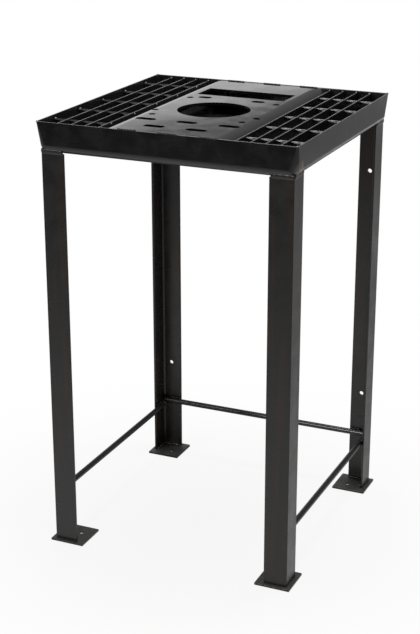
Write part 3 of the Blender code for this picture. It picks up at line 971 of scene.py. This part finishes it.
# %% [markdown]
# ## Legs
# The legs are hot-rolled angle iron: a sharp outer corner, a round root inside, and rounded toes. One
# flange starts as a block, a strip as wide as the steel is thick is cut off it, and the strip's inner
# face is pulled out into the second flange. The edges then get their own radii. The rear pair is drilled
# for wall anchors.

# %% Legs
LEG_X = 0.2655
LEG_Y = 0.269
LEG_A = 0.050
LEG_T = 0.0048
LEG_LOW = 0.0048
LEG_TOP = 0.8527
ROOT_R = 0.005
TOE_R = 0.0024
HEEL_R = 0.0012
FLANGE_EDGE_R = 0.0006
ANCHOR_D = 0.0095
ANCHOR_HEIGHTS = (0.221, 0.744)
ANCHOR_EDGE_R = 0.0004

leg = start_block("leg", (LEG_X - LEG_A, LEG_Y - LEG_T, LEG_LOW), (LEG_X, LEG_Y, LEG_TOP))
enter_edit(leg, "FACE")
bpy.ops.mesh.select_all(action="SELECT")
bpy.ops.mesh.bisect(plane_co=(LEG_X - LEG_T, 0, 0), plane_no=(1, 0, 0))
pick_faces(leg, lambda middle, normal: normal.y < -0.9 and middle.x > LEG_X - LEG_T)
bpy.ops.mesh.extrude_region_move(TRANSFORM_OT_translate={"value": (0, LEG_T - LEG_A, 0)})
leave_edit()


def upright_at(x, y):
    return lambda a, b: near(a.x, x) and near(b.x, x) and near(a.y, y) and near(b.y, y)


round_edges(leg, ROOT_R, 6, upright_at(LEG_X - LEG_T, LEG_Y - LEG_T))
round_edges(leg, TOE_R, 4, upright_at(LEG_X - LEG_A, LEG_Y - LEG_T))
round_edges(leg, TOE_R, 4, upright_at(LEG_X - LEG_T, LEG_Y - LEG_A))
round_edges(leg, HEEL_R, 4, upright_at(LEG_X, LEG_Y))
round_edges(leg, FLANGE_EDGE_R, 2, upright_at(LEG_X - LEG_A, LEG_Y))
round_edges(leg, FLANGE_EDGE_R, 2, upright_at(LEG_X, LEG_Y - LEG_A))
for sx, sy, corner in CORNERS:
    post = copy_of(leg, corner + "_post", mirror=(sx, sy, 1))
    if sy > 0:
        anchors = []
        for anchor_z in ANCHOR_HEIGHTS:
            place = (sx * (LEG_X - LEG_A / 2), LEG_Y, anchor_z)
            anchors.append(start_rod("drill", place, ANCHOR_D, DRILL_DEPTH, (pi / 2, 0, 0), 32))
        cut(post, anchors)
        ease_edges(post, ANCHOR_EDGE_R)
    finish(post, "stand", frame_enamel, "black_paint", "leg_" + corner)
discard(leg)

# %% [markdown]
# ## Foot plates
# Each leg stands on a sheared square of plate with one hole for a floor bolt. The shear leaves the upper
# edges slightly rolled and the lower ones sharp, so the upper edges get the larger radius.

# %% Foot plates
FOOT_OUT_X = 0.274
FOOT_OUT_Y = 0.2775
FOOT_SIZE = 0.076
FOOT_T = 0.0045
FLOOR_BOLT_IN = 0.048
FLOOR_BOLT_D = 0.010
FOOT_CORNER_R = 0.0012
FOOT_ROLL_R = 0.0009
FOOT_EDGE_R = 0.0003

plate_low = (FOOT_OUT_X - FOOT_SIZE, FOOT_OUT_Y - FOOT_SIZE, 0)
plate = start_block("plate", plate_low, (FOOT_OUT_X, FOOT_OUT_Y, FOOT_T))
round_edges(plate, FOOT_CORNER_R, 3, upright)
round_edges(plate, FOOT_ROLL_R, 3, lambda a, b: near(a.z, FOOT_T) and near(b.z, FOOT_T))
bolt_place = (FOOT_OUT_X - FLOOR_BOLT_IN, FOOT_OUT_Y - FLOOR_BOLT_IN, 0)
cut(plate, [start_rod("drill", bolt_place, FLOOR_BOLT_D, DRILL_DEPTH, sides=32)])
ease_edges(plate, FOOT_EDGE_R)
for sx, sy, corner in CORNERS:
    foot = copy_of(plate, corner + "_plate", mirror=(sx, sy, 1))
    finish(foot, "stand", foot_enamel, "black_paint", "foot_" + corner)
discard(plate)

# %% [markdown]
# ## Stretchers
# Three round bars brace the legs near the floor. Each is a cylinder whose cut ends are rounded by a
# bevel.

# %% Stretchers
BRACE_D = 0.0127
BRACE_EDGE_R = 0.001
SIDE_BRACE_X = 0.25405
SIDE_BRACE_Z = 0.115
SIDE_BRACE_L = 0.490
BACK_BRACE_Y = 0.25755
BACK_BRACE_Z = 0.1245
BACK_BRACE_L = 0.5108


def stretcher(name, place, length, turn, node):
    rod = start_rod(name, place, BRACE_D, length, turn, 40)
    shape = enter_edit(rod, "FACE")
    for face in shape.faces:
        face.select_set(len(face.verts) > 4)
    bmesh.update_edit_mesh(rod.data)
    bpy.ops.mesh.bevel(offset=BRACE_EDGE_R, segments=2, affect="EDGES")
    leave_edit()
    finish(rod, "stand", grating_enamel, "black_paint", node)


for side, side_name in SIDES:
    place = (side * SIDE_BRACE_X, 0, SIDE_BRACE_Z)
    stretcher(side_name + "_brace", place, SIDE_BRACE_L, (pi / 2, 0, 0), "stretcher_" + side_name)
stretcher("back_brace", (0, BACK_BRACE_Y, BACK_BRACE_Z), BACK_BRACE_L, (0, pi / 2, 0), "stretcher_back")

# %% [markdown]
# ## Welds
# A weld bead is a row of drops, each laid half over the one before. It could be a ribbed tube, but real
# drops are never quite alike. So small tilted balls of slightly different size are set in a row, joined,
# and melted into one skin by a voxel Remesh. A bead is laid once along X and copied to each seam of that
# length.

# %% Weld beads
STITCH_L = 0.040
STITCH_PLACES = (-0.077, 0.008, 0.093)
STITCH_Y = 0.2692
STITCH_Z = 0.9151


def lay_drops(length, radius, step, tall=1.0, lean=35, tip=0):
    """A row of leaning drops along X, centred on the origin, made taller or tipped towards +Y if asked."""
    drops = []
    count = round(length / step) + 1
    for i in range(count):
        swell = 1 + 0.10 * sin(i * 2.3) + 0.06 * sin(i * 5.1 + 1)
        along = (i / (count - 1) - 0.5) * (length - 1.4 * radius)
        bpy.ops.object.select_all(action="DESELECT")
        bpy.ops.mesh.primitive_ico_sphere_add(
            subdivisions=2,
            radius=radius * swell * 0.86,
            location=(along, 0.12 * radius * sin(i * 1.7), 0),
            rotation=(radians(-tip), radians(lean), 0),
            scale=(0.62 * tall**0.5, 1, tall),
        )
        drops.append(bpy.context.object)
    return join("drops", drops)


def melt(bead, voxel, smoothing=2):
    apply_modifier(bead, "REMESH", mode="VOXEL", voxel_size=voxel, use_smooth_shade=True)
    apply_modifier(bead, "SMOOTH", factor=0.5, iterations=smoothing)
    return bead


stitch = melt(lay_drops(STITCH_L, radius=0.0019, step=0.0019), voxel=0.0004)
print("stitch faces:", len(stitch.data.polygons))
for sy, end in ((-1, "front"), (1, "back")):
    turn = 0 if sy < 0 else pi
    for number, stitch_x in enumerate(STITCH_PLACES):
        place = (stitch_x, sy * STITCH_Y, STITCH_Z)
        seam = copy_of(stitch, end + "_stitch_" + str(number + 1), turn=turn, move=place)
        finish(seam, "stand", weld_enamel, "weld_paint", "deck_weld_" + end + "_" + str(number + 1))
discard(stitch)

# %% [markdown]
# The seams that turn a corner are made of two straight beads: along the two outer faces of a leg under
# the pan's fold, where the welder wove the arc up and down to fill a wide crook, and along its two inner
# faces on the foot plate.

# %% Leg and foot welds
LEG_BEAD_L = 0.047
FOOT_BEAD_L = 0.042


def corner_bead(along_x, length, turn, voxel, smoothing):
    """Two beads at a right angle that meet near a turn, running towards smaller X and Y."""
    turn_x, turn_y, z = turn
    along_y = copy_of(along_x, "along_y", turn=-pi / 2, move=(turn_x, turn_y - length / 2, z))
    along_x.location = (turn_x - length / 2, turn_y, z)
    bead = join("corner_bead", [along_x, along_y])
    return melt(bead, voxel, smoothing)


leg_pass = lay_drops(LEG_BEAD_L, radius=0.0026, step=0.0013, tall=2.7, lean=9, tip=12)
leg_turn = (LEG_X - 0.0005, LEG_Y - 0.0005, PAN_Z + 0.0022)
leg_bead = corner_bead(leg_pass, LEG_BEAD_L, leg_turn, voxel=0.0005, smoothing=26)
foot_pass = lay_drops(FOOT_BEAD_L, radius=0.0044, step=0.0042)
foot_turn = (LEG_X - LEG_T - 0.0012, LEG_Y - LEG_T - 0.0012, 0.0062)
foot_bead = corner_bead(foot_pass, FOOT_BEAD_L, foot_turn, voxel=0.0006, smoothing=1)
for sx, sy, corner in CORNERS:
    seam = copy_of(leg_bead, corner + "_pan_weld", mirror=(sx, sy, 1))
    finish(seam, "stand", frame_enamel, "weld_paint", "leg_weld_" + corner)
    seam = copy_of(foot_bead, corner + "_foot_weld", mirror=(sx, sy, 1))
    finish(seam, "stand", worn_enamel, "weld_paint", "foot_weld_" + corner)
discard(leg_bead, foot_bead)

# %% [markdown]
# The stretchers lie against the inner faces of the legs, and each end is held by one short bead on top.
# The welder's arc spat a little: small drops stick to the rear right leg above the back stretcher, and
# one larger drop closes the rim at each corner of the pan.

# %% Stretcher welds and spatter
BRACE_WELD_L = 0.024
SIDE_WELD = (0.2582, 0.2324, 0.1222)
BACK_WELD = (0.2289, 0.2617, 0.1317)
SPATTER_DROPS = 9
SPATTER_X = 0.236
SPATTER_Z = 0.143
DAB_SIZE = (1.3, 1.2, 1)

rod_bead = melt(lay_drops(BRACE_WELD_L, radius=0.0029, step=0.0026), voxel=0.0005)
for sx, side_name in SIDES:
    for sy, end in ((-1, "front"), (1, "rear")):
        place = (sx * SIDE_WELD[0], sy * SIDE_WELD[1], SIDE_WELD[2])
        seam = copy_of(rod_bead, side_name + "_" + end + "_brace_weld", turn=pi / 2, move=place)
        finish(seam, "stand", weld_enamel, "weld_paint", "stretcher_weld_" + side_name + "_" + end)
    place = (sx * BACK_WELD[0], BACK_WELD[1], BACK_WELD[2])
    seam = copy_of(rod_bead, "back_" + side_name + "_brace_weld", move=place)
    finish(seam, "stand", weld_enamel, "weld_paint", "stretcher_weld_back_" + side_name)
discard(rod_bead)

spots = []
for i in range(SPATTER_DROPS):
    spot = copy_of(first_drop, "spot", mirror=[0.45 + 0.1 * sin(i)] * 3)
    spot.rotation_euler.x = pi / 2
    spot.location = (SPATTER_X + 0.011 * sin(i * 2.1), LEG_Y - LEG_T, SPATTER_Z + 0.0028 * i)
    spots.append(spot)
only(spots[0])
for spot in spots:
    spot.select_set(True)
bpy.ops.object.transform_apply(location=True, rotation=True, scale=True)
finish(join("rear_right_spatter", spots), "stand", weld_enamel, "weld_paint")

for sx, sy, corner in CORNERS:
    place = (sx * (RIM_HALF - 0.0026), sy * (RIM_HALF - 0.0022), RIM_Z - 0.0008)
    dab = copy_of(first_drop, corner + "_rim_dab", mirror=DAB_SIZE, turn=sx * sy * pi / 4, move=place)
    finish(dab, "stand", worn_enamel, "weld_paint")
discard(first_drop)

# %% Last update of the scene
bpy.context.view_layer.update()
